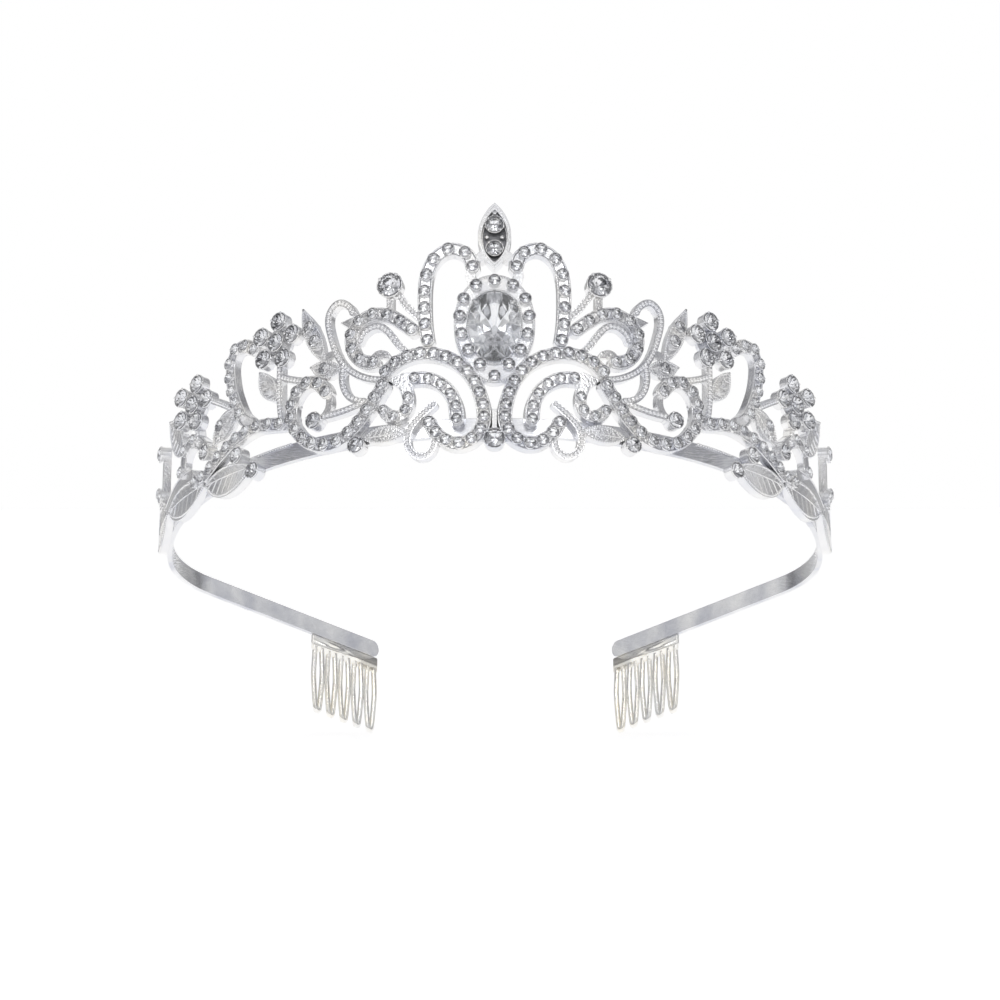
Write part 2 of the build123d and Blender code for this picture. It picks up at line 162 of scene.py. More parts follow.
def foil_backed_glass(name, stops, rough, glaze):
    """Cut glass on foil, with painted reflections: every facet's foil is painted a little lighter
    or darker, as if each facet answered the light differently.
    """
    material, tree, bsdf = shader(name)
    facet = tree.nodes.new("ShaderNodeAttribute")
    facet.attribute_name = "facet"
    place = tree.nodes.new("ShaderNodeTexCoord").outputs["Object"]
    cloud = noise(tree, CLOUD_SCALE, 2, place)
    blend = tree.nodes.new("ShaderNodeMix")
    blend.inputs["Factor"].default_value = CLOUD_SHARE
    tree.links.new(facet.outputs["Fac"], blend.inputs["A"])
    tree.links.new(cloud, blend.inputs["B"])
    tree.links.new(ramp(tree, blend.outputs["Result"], stops), bsdf.inputs["Base Color"])
    tree.links.new(remap(tree, cloud, *rough), bsdf.inputs["Roughness"])
    set_values(bsdf, Metallic=FOIL_METAL, IOR=FOIL_INDEX, Coat_Weight=glaze,
               Coat_Roughness=GLAZE_ROUGHNESS)
    return material


silver = plated_metal(
    "bright_silver_plating", (0.74, 0.75, 0.79), (0.92, 0.91, 0.89), (0.12, 0.30), 2600, 0.25
)
band_silver = plated_metal(
    "brushed_band_silver", (0.60, 0.61, 0.66), (0.90, 0.90, 0.90), (0.14, 0.30), 3000, 0.2,
    (0.15, 0.15, 1),
)
comb_silver = plated_metal(
    "comb_strip_plating", (0.92, 0.92, 0.91), (1.0, 0.96, 0.87), (0.10, 0.24), 2200, 0.2,
    (1, 1, 0.1),
)
# darker silver as painted shade: the lines just inside the strand rims
painted_groove_shade_silver = plated_metal(
    "shaded_groove_silver", (0.34, 0.34, 0.37), (0.56, 0.56, 0.57), (0.3, 0.5), 3000, 0.3
)
# dark silver as painted shade: the rings between the stones and their cups, and the floor of the
# navette's recess
painted_shade_silver = plated_metal(
    "oxidised_recess", (0.16, 0.16, 0.17), (0.34, 0.34, 0.36), (0.35, 0.6), 4000, 0.6
)
# painted reflections: the rhinestone foil runs from near black to white by facet value, giving
# painted glints and dark specks
rhinestone = foil_backed_glass(
    "rhinestone_glass",
    ((0.06, (0.12, 0.12, 0.14)), (0.22, (0.70, 0.71, 0.74)), (0.42, (0.97, 0.97, 0.99)),
     (0.8, (1.0, 1.0, 1.0))),
    (0.03, 0.10), 1.0,
)
# painted reflections: the crystal's foil runs from grey to white by facet value, giving painted
# glints and painted shade
crystal_foil = foil_backed_glass(
    "crystal_foil",
    ((0.05, (0.24, 0.25, 0.28)), (0.35, (0.60, 0.61, 0.64)), (0.62, (0.88, 0.89, 0.91)),
     (0.95, (1.0, 1.0, 1.0))),
    (0.04, 0.12), 0.6,
)


def clear_glass(name, rough):
    """The clear crown of a stone, with the faint bloom of a handled surface."""
    material, tree, bsdf = shader(name)
    place = tree.nodes.new("ShaderNodeTexCoord").outputs["Object"]
    bloom = noise(tree, BLOOM_SCALE, 3, place)
    tree.links.new(ramp(tree, bloom, ((0.3, (0.95, 0.96, 0.98)), (0.7, (1.0, 1.0, 1.0)))),
                   bsdf.inputs["Base Color"])
    tree.links.new(remap(tree, bloom, *rough), bsdf.inputs["Roughness"])
    set_values(bsdf, IOR=GLASS_INDEX, Transmission_Weight=1.0)
    return material


stone_glass = clear_glass("rhinestone_crown", (0.0, 0.04))
crystal_glass = clear_glass("crystal_crown", (0.0, 0.03))


# ---- building pieces ----
CUP_SIDES = 14
CLAWS = 4
GIRDLE_CORNERS = 8  # corners of a CAD stone's widest outline


def finished_piece(name, mesh, replaced=(), material=None, smooth=None):
    """Names a piece, sets it on the root body and hides the CAD parts that it replaces."""
    if material is not None:
        mesh.materials.clear()
        mesh.materials.append(material)
    if smooth is not None:
        mesh.polygons.foreach_set("use_smooth", [smooth] * len(mesh.polygons))
    mesh.name = name
    piece = bpy.data.objects.new(name, mesh)
    collection.objects.link(piece)
    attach(piece, "root")
    if replaced:
        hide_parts(*replaced)
    return piece


def node_tree(name, sockets):
    """A Geometry Nodes tree with named inputs; returns the tree, its input and its output."""
    group = bpy.data.node_groups.new(name, "GeometryNodeTree")
    group.interface.new_socket("Geometry", in_out="INPUT", socket_type="NodeSocketGeometry")
    for label, kind in sockets:
        group.interface.new_socket(label, in_out="INPUT", socket_type=f"NodeSocket{kind}")
    group.interface.new_socket("Geometry", in_out="OUTPUT", socket_type="NodeSocketGeometry")
    return group, group.nodes.new("NodeGroupInput").outputs, group.nodes.new("NodeGroupOutput")


def step(group, kind, sockets=(), **settings):
    """Adds one node: sockets are (name or index, linked socket or plain value)."""
    node = group.nodes.new(kind)
    for label, value in settings.items():
        setattr(node, label, value)
    for label, value in sockets:
        if isinstance(value, bpy.types.NodeSocket):
            group.links.new(value, node.inputs[label])
        else:
            node.inputs[label].default_value = value
    return node.outputs


def grow(group, mesh, **inputs):
    """Runs a tree over a starting mesh and returns the plain mesh that it makes."""
    start = bpy.data.objects.new("start", mesh)
    collection.objects.link(start)
    modifier = start.modifiers.new("grow", "NODES")
    modifier.node_group = group
    for socket in group.interface.items_tree:
        label = socket.name.replace(" ", "_")
        if socket.in_out == "INPUT" and label in inputs:
            modifier[socket.identifier] = inputs[label]
    evaluated = start.evaluated_get(bpy.context.evaluated_depsgraph_get())
    grown = bpy.data.meshes.new_from_object(evaluated)
    start.modifiers.remove(modifier)
    bpy.data.objects.remove(start)
    return grown


def master(name, rings, closed):
    """A small turned shape from rings of corners, for the trees to place."""
    shape = bmesh.new()
    rows = [[shape.verts.new(corner) for corner in ring] for ring in rings]
    for lower, upper in zip(rows, rows[1:]):
        count = len(lower)
        for index in range(count):
            after = (index + 1) % count
            shape.faces.new((lower[index], lower[after], upper[after], upper[index]))
    if closed:
        shape.faces.new(rows[-1])
        shape.faces.new(list(reversed(rows[0])))
    mesh = bpy.data.meshes.new(name)
    bmesh.ops.recalc_face_normals(shape, faces=shape.faces)
    shape.to_mesh(mesh)
    shape.free()
    return mesh


def ring(radius, height, count, offset=0.0):
    """Corners evenly round the Z axis."""
    return [
        (radius * cos(2 * pi * (i + offset) / count), radius * sin(2 * pi * (i + offset) / count),
         height)
        for i in range(count)
    ]


def mark_backed(mesh, is_behind):
    """Marks the foiled facets behind a stone's girdle."""
    backed = mesh.attributes.new("backed", "BOOLEAN", "FACE")
    backed.data.foreach_set("value", [is_behind(face.center) for face in mesh.polygons])


def facet_stone(count=8):
    """Brilliant-cut stone of radius 1: table, star, kite and girdle facets, and a pavilion."""
    shape = bmesh.new()
    table = [shape.verts.new(p) for p in ring(0.55, 0.35, count)]
    middle = [shape.verts.new(p) for p in ring(0.80, 0.21, count, 0.5)]
    girdle = [shape.verts.new(p) for p in ring(1.0, 0.03, 2 * count)]
    under = [shape.verts.new(p) for p in ring(1.0, -0.03, 2 * count)]
    culet = shape.verts.new((0, 0, -0.74))
    shape.faces.new(table)
    for i in range(count):
        after = (i + 1) % count
        before = middle[i - 1]
        shape.faces.new((table[i], middle[i], table[after]))
        shape.faces.new((table[i], before, girdle[2 * i], middle[i]))
        shape.faces.new((middle[i], girdle[2 * i], girdle[2 * i + 1]))
        shape.faces.new((middle[i], girdle[2 * i + 1], girdle[(2 * i + 2) % (2 * count)]))
    for i in range(2 * count):
        after = (i + 1) % (2 * count)
        shape.faces.new((girdle[i], under[i], under[after], girdle[after]))
        shape.faces.new((under[i], culet, under[after]))
    bmesh.ops.recalc_face_normals(shape, faces=shape.faces)
    mesh = bpy.data.meshes.new("facet_stone")
    shape.to_mesh(mesh)
    shape.free()
    mark_backed(mesh, lambda place: place.z < -0.05)
    return mesh


def claw_cup():
    """Rim of a cup round a stone of radius 1, with four claws pushed over its edge."""
    shape = bmesh.new()
    profile = ((1.05, -0.22), (1.24, -0.22), (1.27, -0.02), (1.22, 0.06), (1.14, 0.0))
    rows = [
        [shape.verts.new(p) for p in ring(radius, height, CUP_SIDES)]
        for radius, height in profile
    ]
    for lower, upper in zip(rows, rows[1:] + rows[:1]):
        for i in range(CUP_SIDES):
            after = (i + 1) % CUP_SIDES
            shape.faces.new((lower[i], lower[after], upper[after], upper[i]))
    for claw in range(CLAWS):
        turn = 2 * pi * (claw + 0.5) / CLAWS
        place = Matrix.Translation((1.12 * cos(turn), 1.12 * sin(turn), 0.07))
        bmesh.ops.create_uvsphere(
            shape, u_segments=6, v_segments=4, radius=0.18,
            matrix=place @ Matrix.Diagonal((1, 1, 0.8, 1)),
        )
    bmesh.ops.recalc_face_normals(shape, faces=shape.faces)
    mesh = bpy.data.meshes.new("claw_cup")
    shape.to_mesh(mesh)
    shape.free()
    return mesh


def groove():
    """A ring of painted shade: the darkened line between a stone of radius 1 and its cup, where
    shade falls.
    """
    profile = ((1.06, -0.1), (1.16, -0.1), (1.16, 0.035), (1.06, 0.045))
    rings = [ring(radius, height, CUP_SIDES) for radius, height in profile]
    return master("groove", rings + rings[:1], closed=False)


masters = []


def hidden(mesh):
    """An object that only the trees use; it is removed at the end."""
    item = bpy.data.objects.new(mesh.name, mesh)
    collection.objects.link(item)
    masters.append(item)
    return item


stone_master = hidden(facet_stone())
cup_master = hidden(claw_cup())
groove_master = hidden(groove())


def setting_tree():
    """Sets a master on every point, turned to its facing and sized by its stone."""
    group, given, out = node_tree(
        "set_on_seats",
        (("Shape", "Object"), ("Finish", "Material"), ("Backing", "Material"),
         ("Smooth", "Bool"), ("Seed", "Int")),
    )
    facing = step(group, "GeometryNodeInputNamedAttribute", (("Name", "facing"),),
                  data_type="FLOAT_VECTOR")[0]
    size = step(group, "GeometryNodeInputNamedAttribute", (("Name", "size"),),
                data_type="FLOAT")[0]
    turn = step(group, "FunctionNodeAlignRotationToVector", (("Vector", facing),), axis="Z")[0]
    shape = step(group, "GeometryNodeObjectInfo", (("Object", given["Shape"]),))["Geometry"]
    points = step(group, "GeometryNodeMeshToPoints", (("Mesh", given["Geometry"]),))[0]
    placed = step(group, "GeometryNodeInstanceOnPoints", (
        ("Points", points), ("Instance", shape), ("Rotation", turn), ("Scale", size),
    ))[0]
    real = step(group, "GeometryNodeRealizeInstances", (("Geometry", placed),))[0]
    # a random value per face, stored as "facet", sets how light each foil facet is painted
    # (painted glints); only the foil materials read it
    painted_glint_value = step(group, "FunctionNodeRandomValue", (("Seed", given["Seed"]),),
                  data_type="FLOAT")[1]
    marked = step(group, "GeometryNodeStoreNamedAttribute", (
        ("Geometry", real), ("Name", "facet"), ("Value", painted_glint_value),
    ), data_type="FLOAT", domain="FACE")[0]
    shaded = step(group, "GeometryNodeSetShadeSmooth", (
        ("Geometry", marked), ("Shade Smooth", given["Smooth"]),
    ))[0]
    faced = step(group, "GeometryNodeSetMaterial", (
        ("Geometry", shaded), ("Material", given["Finish"]),
    ))[0]
    backed = step(group, "GeometryNodeInputNamedAttribute", (("Name", "backed"),),
                  data_type="BOOLEAN")[0]
    done = step(group, "GeometryNodeSetMaterial", (
        ("Geometry", faced), ("Selection", backed), ("Material", given["Backing"]),
    ))[0]
    group.links.new(done, out.inputs[0])
    return group


def wire_tree():
    """Sweeps a round wire along smooth lines on the wall, shifted sideways if asked."""
    group, given, out = node_tree("wall_wire", (
        ("Shift", "Float"), ("Thickness", "Float"), ("Spacing", "Float"),
        ("Beaded", "Bool"), ("Axis", "Vector"), ("Finish", "Material"),
    ))
    curve = step(group, "GeometryNodeMeshToCurve", (("Mesh", given["Geometry"]),))[0]
    smooth = step(group, "GeometryNodeCurveSplineType", (("Curve", curve),),
                  spline_type="CATMULL_ROM")[0]
    even = step(group, "GeometryNodeResampleCurve", (
        ("Curve", smooth), ("Length", given["Spacing"]),
    ), mode="LENGTH")[0]
    position = step(group, "GeometryNodeInputPosition")[0]
    level = step(group, "ShaderNodeVectorMath", ((0, position), (1, given["Axis"])),
                 operation="DOT_PRODUCT")["Value"]
    along_axis = step(group, "ShaderNodeVectorMath", ((0, given["Axis"]), ("Scale", level)),
                      operation="SCALE")[0]
    outward = step(group, "ShaderNodeVectorMath", ((0, position), (1, along_axis)),
                   operation="SUBTRACT")[0]
    tangent = step(group, "GeometryNodeInputTangent")[0]
    across = step(group, "ShaderNodeVectorMath", ((0, tangent), (1, outward)),
                  operation="CROSS_PRODUCT")[0]
    unit = step(group, "ShaderNodeVectorMath", ((0, across),), operation="NORMALIZE")[0]
    shift = step(group, "ShaderNodeVectorMath", ((0, unit), ("Scale", given["Shift"])),
                 operation="SCALE")[0]
    moved = step(group, "GeometryNodeSetPosition", (("Geometry", even), ("Offset", shift)))[0]
    profile = step(group, "GeometryNodeCurvePrimitiveCircle", (
        ("Resolution", 8), ("Radius", given["Thickness"]),
    ))[0]
    swept = step(group, "GeometryNodeCurveToMesh", (
        ("Curve", moved), ("Profile Curve", profile), ("Fill Caps", True),
    ))[0]
    bead = step(group, "GeometryNodeMeshUVSphere", (
        ("Segments", 7), ("Rings", 5), ("Radius", given["Thickness"]),
    ))[0]
    points = step(group, "GeometryNodeCurveToPoints", (("Curve", moved),), mode="EVALUATED")[0]
    beads = step(group, "GeometryNodeInstanceOnPoints", (
        ("Points", points), ("Instance", bead),
    ))[0]
    choice = step(group, "GeometryNodeSwitch", (
        ("Switch", given["Beaded"]), ("False", swept), ("True", beads),
    ), input_type="GEOMETRY")[0]
    real = step(group, "GeometryNodeRealizeInstances", (("Geometry", choice),))[0]
    shaded = step(group, "GeometryNodeSetShadeSmooth", (("Geometry", real),))[0]
    done = step(group, "GeometryNodeSetMaterial", (
        ("Geometry", shaded), ("Material", given["Finish"]),
    ))[0]
    group.links.new(done, out.inputs[0])
    return group


set_on_seats = setting_tree()
wall_wire = wire_tree()


def lines_mesh(lines):
    """Starting mesh for wires: one open chain of edges per line."""
    places = []
    edges = []
    for line in lines:
        first = len(places)
        places += line
        edges += [(first + i, first + i + 1) for i in range(len(line) - 1)]
    mesh = bpy.data.meshes.new("lines")
    mesh.from_pydata(places, edges, [])
    return mesh


def both_sides(lines, radius=CASTING_FACE):
    """Lines on the wall, given as (along, up) places, on the right and on the left."""
    return [
        [on_wall(along, up, side, radius) for along, up in line]
        for side, _ in SIDES for line in lines
    ]


def wires(name, lines, thickness, spacing, beaded=False, shift=0.0, finish=silver):
    """One piece of wires or bead rows along the given lines."""
    mesh = grow(
        wall_wire, lines_mesh(lines), Shift=shift * MM, Thickness=thickness * MM,
        Spacing=spacing * MM, Beaded=beaded, Axis=tuple(BAND_AXIS), Finish=finish,
    )
    return finished_piece(name, mesh)


# ---- stones and their claw cups, on the seats that the frame gives ----
def stone_seats(node):
    """Middle, facing and radius of every stone of a CAD node, from its separate shells."""
    shape = bmesh.new()
    shape.from_mesh(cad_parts[node].data)
    bmesh.ops.remove_doubles(shape, verts=shape.verts, dist=0.002 * MM)
    shape.verts.index_update()
    waiting = set(shape.verts)
    seats = []
    while waiting:
        shell = {waiting.pop()}
        edge_of_search = list(shell)
        while edge_of_search:
            vertex = edge_of_search.pop()
            for edge in vertex.link_edges:
                other = edge.other_vert(vertex)
                if other not in shell:
                    shell.add(other)
                    edge_of_search.append(other)
        waiting -= shell
        in_order = sorted(shell, key=lambda vertex: vertex.index)  # the same on every run
        places = [vertex.co.copy() for vertex in in_order]
        middle = sum(places, Vector()) / len(places)
        places.sort(key=lambda place: (place - middle).length, reverse=True)
        girdle = places[:GIRDLE_CORNERS]
        centre = sum(girdle, Vector()) / len(girdle)
        radius = sum((place - centre).length for place in girdle) / len(girdle)
        lean = sum((place - centre for place in places[GIRDLE_CORNERS:]), Vector())
        seats.append((centre, -lean.normalized(), radius))
    shape.free()
    return sorted(seats, key=lambda seat: tuple(seat[0]))


def seat_mesh(seats, share=1.0):
    """Points for the settings tree, each stone's radius being scaled by share."""
    mesh = bpy.data.meshes.new("seats")
    mesh.from_pydata([centre for centre, _, _ in seats], [], [])
    facing = mesh.attributes.new("facing", "FLOAT_VECTOR", "POINT")
    facing.data.foreach_set("vector", [part for _, way, _ in seats for part in way])
    size = mesh.attributes.new("size", "FLOAT", "POINT")
    size.data.foreach_set("value", [share * radius for _, _, radius in seats])
    return mesh


STONE_SPREAD = 1.09  # stones reach a little over their cups' rims

stone_nodes = sorted(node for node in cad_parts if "stone" in node)
for seed, node in enumerate(stone_nodes):
    seats = stone_seats(node)
    cut = grow(set_on_seats, seat_mesh(seats, STONE_SPREAD), Shape=stone_master,
               Finish=stone_glass, Backing=rhinestone, Smooth=False, Seed=seed)
    finished_piece(f"cut_{node}", cut, (node,))
    cups = grow(set_on_seats, seat_mesh(seats), Shape=cup_master, Finish=silver,
                Smooth=True, Seed=seed)
    finished_piece(f"claws_{node}", cups)
    # a dark ring round every stone: painted shade between stone and cup
    grooves = grow(set_on_seats, seat_mesh(seats), Shape=groove_master, Finish=painted_shade_silver,
                   Smooth=False, Seed=seed)
    finished_piece(f"grooves_{node}", grooves)

# ---- castings and band ----
for node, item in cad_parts.items():
    if "stone" in node or node == "centre_crystal":
        continue
    finish = band_silver if node == "headband" else silver
    item.data.materials.clear()
    item.data.materials.append(finish)

# ---- rims along the stone-set strands ----
BIG_SCROLL = [
    (20.9, 12.0), (18.7, 13.8), (15.0, 15.0), (11.0, 14.6), (7.4, 12.9), (4.3, 9.6),
    (2.5, 5.2), (2.0, 0.6), (3.6, -2.6), (7.0, -4.0), (10.3, -2.3), (12.3, 0.6),
]
LOBE = [
    (4.2, 32.6), (5.2, 35.2), (8.2, 36.6), (11.4, 34.9), (13.1, 31.0), (13.4, 26.0),
    (13.2, 21.0), (12.7, 17.6),
]
CRESCENT = [(15.2, 10.0), (12.0, 9.5), (9.2, 7.5), (7.6, 4.8), (7.1, 1.0)]
RING_CURL = [(17.2, 8.6), (16.4, 5.6), (17.3, 3.1), (19.3, 2.5), (21.2, 3.9)]
LOWER = [
    (21.6, 9.2), (23.4, 6.4), (25.4, 3.6), (28.4, 0.5), (31.5, -0.9), (34.3, -0.9),
    (37.0, 0.2), (39.3, 2.3), (41.1, 5.2), (41.3, 8.3), (40.3, 10.9), (38.2, 12.6),
    (35.6, 12.3), (33.4, 9.9),
]
SIDE = [
    (44.0, 5.7), (47.3, 6.4), (50.2, 6.8), (53.0, 6.6), (57.8, 5.4), (62.6, 3.4),
    (66.5, 1.7), (70.2, 1.5),
]
OUTER_LOBE = [
    (51.2, 23.4), (53.8, 25.0), (56.8, 25.2), (58.5, 23.0), (58.5, 19.8), (57.7, 16.5),
    (56.3, 13.2), (54.4, 10.0), (52.9, 8.6),
]
UPPER = [
    (15.8, 20.2), (17.8, 21.9), (20.4, 23.7), (23.6, 24.4), (26.5, 23.3), (28.1, 20.8),
    (27.8, 17.6), (26.1, 15.2), (23.4, 14.3),
]
SPRAY_CURL = [(67.6, 8.2), (70.2, 10.2), (73.4, 11.2), (76.4, 9.6), (77.2, 6.0)]
SPRAY_RUN = [(73.4, 4.0), (78.0, 4.2), (83.0, 3.4), (90.0, 1.6)]
WIDE_STRANDS = [BIG_SCROLL, LOBE, CRESCENT, LOWER, SIDE, OUTER_LOBE, UPPER, SPRAY_CURL, SPRAY_RUN]
RIM_THICKNESS, RIM_SPACING = 0.17, 0.5
# dark wires just inside each strand's rims: painted shade in the groove between the stones and
# the rim
GROOVE_THICKNESS, GROOVE_SPACING = 0.10, 0.6

for label, lines, reach, thickness, spacing, finish in (
    ("strand_rims", WIDE_STRANDS, 1.22, RIM_THICKNESS, RIM_SPACING, silver),
    ("curl_rims", [RING_CURL], 1.0, RIM_THICKNESS, RIM_SPACING, silver),
    ("strand_grooves", WIDE_STRANDS, 0.98, GROOVE_THICKNESS, GROOVE_SPACING, painted_groove_shade_silver),
):
    for shift, where in ((reach, "outer"), (-reach, "inner")):
        wires(f"{label}_{where}", both_sides(lines), thickness, spacing,
              shift=shift, finish=finish)

# ---- beaded wires ----
LOOP = [
    (28.0, 25.6), (29.2, 27.4), (31.2, 28.2), (33.0, 26.6), (33.2, 23.6), (32.4, 20.6),
    (31.3, 17.5), (29.6, 14.8), (27.2, 12.6), (24.8, 11.3), (22.3, 10.6),
]
BEADED_LINES = [
    LOOP,
    [(29.8, 14.6), (29.9, 11.0), (28.6, 8.2), (25.4, 6.6)],
    [(33.9, 5.0), (29.8, 5.3), (25.8, 6.3)],
    [(26.4, 19.4), (25.2, 21.2), (22.8, 21.9), (20.8, 20.6), (19.2, 18.4), (17.6, 16.4)],
    [(44.6, 19.0), (44.6, 14.0), (44.4, 10.0), (43.9, 6.8)],
    [(44.5, 15.8), (41.5, 14.4), (39.2, 13.6)],
    [(18.8, 28.2), (16.8, 25.2), (14.6, 22.8)],
    [(11.6, 4.4), (13.6, 2.7), (16.0, 0.0), (16.6, -2.8), (15.6, -5.2), (13.5, -6.1),
     (11.9, -4.9), (11.5, -3.4)],
    [(58.4, 13.4), (61.0, 15.0), (64.6, 17.0)],
    [(69.9, 10.0), (70.8, 13.6), (71.5, 18.5)],
    [(95.2, 5.0), (96.6, 8.4), (98.0, 9.4)],
]
BEAD_RADIUS, BEAD_PITCH = 0.54, 0.80
wires("beaded_wires", both_sides(BEADED_LINES), BEAD_RADIUS, BEAD_PITCH, beaded=True)

# ---- leaves: beaded edge, midrib and veins ----
# each leaf: its base, the bulge of one side, its tip, and the bulge of the other side
LEAVES = [
    ((34.0, 16.2), (35.0, 22.8), (39.1, 28.5), (38.4, 21.6)),
    ((30.2, 14.2), (33.4, 16.5), (37.0, 15.8), (33.8, 12.9)),
    ((45.0, 11.0), (49.2, 13.2), (49.8, 18.0), (46.0, 15.6)),
    ((57.0, 12.8), (62.6, 11.6), (63.8, 7.0), (59.2, 8.4)),
    ((76.4, 9.6), (83.4, 12.6), (87.5, 21.0), (79.6, 17.0)),
    ((67.0, 0.0), (77.0, 3.2), (86.0, 0.8), (75.5, -3.8)),
    ((51.4, -1.0), (59.4, 1.4), (66.4, -0.6), (59.6, -5.0)),
    ((87.0, 1.2), (96.0, 5.8), (103.4, 0.8), (96.0, -3.9)),
    ((25.4, -1.2), (21.0, 1.0), (16.4, -0.8), (21.0, -2.6)),
]
VEINS = 7
VEIN_START, VEIN_SPAN, VEIN_SWEEP = 0.12, 0.72, 0.09
EDGE_STEPS = 6
EDGE_INSET, VEIN_INSET = 0.12, 0.2


def between(start, end, share):
    """The place at a share of the way from start to end."""
    return tuple(a + (b - a) * share for a, b in zip(start, end))


def leaf_side(base, bulge, tip, share):
    """Place on a leaf's curved side, which passes through its bulge at half way."""
    pull = tuple(2 * m - (a + b) / 2 for a, m, b in zip(base, bulge, tip))
    return between(between(base, pull, share), between(pull, tip, share), share)


edges, veins = [], []
for base, side, tip, other in LEAVES:
    for bulge in (side, other):
        middle = between(base, tip, 0.5)
        inset = between(bulge, middle, EDGE_INSET)
        edges.append([
            leaf_side(base, inset, tip, number / EDGE_STEPS) for number in range(EDGE_STEPS + 1)
        ])
        for vein in range(VEINS):
            share = VEIN_START + VEIN_SPAN * vein / (VEINS - 1)
            root = between(base, tip, share)
            vein_side = between(bulge, middle, VEIN_INSET)
            end = leaf_side(base, vein_side, tip, share + VEIN_SWEEP)
            veins.append([root, end])
    veins.append([base, between(base, tip, 0.5), tip])
wires("leaf_edges", both_sides(edges), thickness=0.27, spacing=0.5, beaded=True)
wires("leaf_veins", both_sides(veins), thickness=0.16, spacing=1.2)

# ---- milled edge on top of the band beside the side strand ----
BAND_FACE = 67.2
band_edge = [[(42.5, 1.6), (45.0, 1.55), (48.0, 1.5), (51.0, 1.4)]]
wires("band_milling", both_sides(band_edge, BAND_FACE), thickness=0.28, spacing=0.62,
      beaded=True)

# ---- halo: beaded bezel round the crystal ----
# half width, half height and middle of the two ovals, and the crystal's girdle in depth
CRYSTAL = (5.0, 7.4, 19.9)
GALLERY = (7.42, 11.05, 19.6)
CRYSTAL_MIDDLE = CRYSTAL[2]
CRYSTAL_GIRDLE = 68.85
OVAL_CORNERS = 24
OVAL_TAPER = 0.12


def egg(oval, share, count, offset=0.0):
    """Corners round an upright oval that is narrower at the bottom."""
    half_width, half_height, middle = oval
    corners = []
    for corner in range(count):
        turn = 2 * pi * (corner + offset) / count
        across = half_width * (1 + OVAL_TAPER * cos(turn)) * sin(turn)
        corners.append((share * across, middle + share * half_height * cos(turn)))
    return corners


bezel = egg(CRYSTAL, 1.045, OVAL_CORNERS)
bezel_line = [worn(x, -CRYSTAL_GIRDLE + 0.1, up) for x, up in bezel + bezel[:1]]
wires("crystal_bezel", [bezel_line], thickness=0.26, spacing=0.45, beaded=True)

gallery_edge = egg(GALLERY, 1, OVAL_CORNERS)
gallery_line = [on_wall(*place) for place in gallery_edge + gallery_edge[:1]]
wires("gallery_edge_beads", [gallery_line], thickness=0.3, spacing=0.55, beaded=True)

# each claw rises outside the girdle and bends in over it: (share of its distance, forward)
CLAW_BEND = ((1.08, -0.5), (1.02, 0.35), (0.87, 0.85))
claw_lines = []
for x, up in egg(CRYSTAL, 0.99, CLAWS, 0.5):
    claw_lines.append([
        worn(x * share, -CRYSTAL_GIRDLE - forward,
             CRYSTAL_MIDDLE + (up - CRYSTAL_MIDDLE) * share)
        for share, forward in CLAW_BEND
    ])
wires("crystal_claws", claw_lines, thickness=0.32, spacing=0.3)


# ---- centre crystal ----
def crystal_face(share, out, count, offset=0.0):
    """Corners of one level of the crystal, out in front of its girdle."""
    corners = egg(CRYSTAL, share, count, offset)
    return [worn(x, -CRYSTAL_GIRDLE - out, up) for x, up in corners]


def crystal_mesh():
    """Oval cut: a broad table, star, kite and girdle facets, over a foiled pavilion."""
    shape = bmesh.new()
    count = 12
    table = [shape.verts.new(p) for p in crystal_face(0.56, 1.95, count)]
    middle = [shape.verts.new(p) for p in crystal_face(0.80, 1.15, count, 0.5)]
    girdle = [shape.verts.new(p) for p in crystal_face(0.985, 0.08, 2 * count)]
    under = [shape.verts.new(p) for p in crystal_face(0.985, -0.08, 2 * count)]
    lower = [shape.verts.new(p) for p in crystal_face(0.52, -1.9, count, 0.5)]
    keel = [shape.verts.new(p) for p in crystal_face(0.12, -3.3, count)]
    shape.faces.new(table)
    double = 2 * count
    for i in range(count):
        after = (i + 1) % count
        shape.faces.new((table[i], middle[i], table[after]))
        shape.faces.new((table[i], middle[i - 1], girdle[2 * i], middle[i]))
        shape.faces.new((middle[i], girdle[2 * i], girdle[2 * i + 1]))
        shape.faces.new((middle[i], girdle[2 * i + 1], girdle[(2 * i + 2) % double]))
        shape.faces.new((lower[i], under[2 * i], under[2 * i + 1]))
        shape.faces.new((lower[i], under[2 * i + 1], under[(2 * i + 2) % double]))
        shape.faces.new((lower[i - 1], under[2 * i], lower[i]))
        shape.faces.new((lower[i - 1], lower[i], keel[i]))
        shape.faces.new((keel[i], lower[i], keel[after]))
    shape.faces.new(keel)
    for i in range(double):
        after = (i + 1) % double
        shape.faces.new((girdle[i], under[i], under[after], girdle[after]))
    bmesh.ops.recalc_face_normals(shape, faces=shape.faces)
    mesh = bpy.data.meshes.new("crystal")
    shape.to_mesh(mesh)
    shape.free()
    return mesh


crystal = crystal_mesh()
facet = crystal.attributes.new("facet", "FLOAT", "FACE")
crystal_centre = worn(0, -CRYSTAL_GIRDLE, CRYSTAL_MIDDLE)
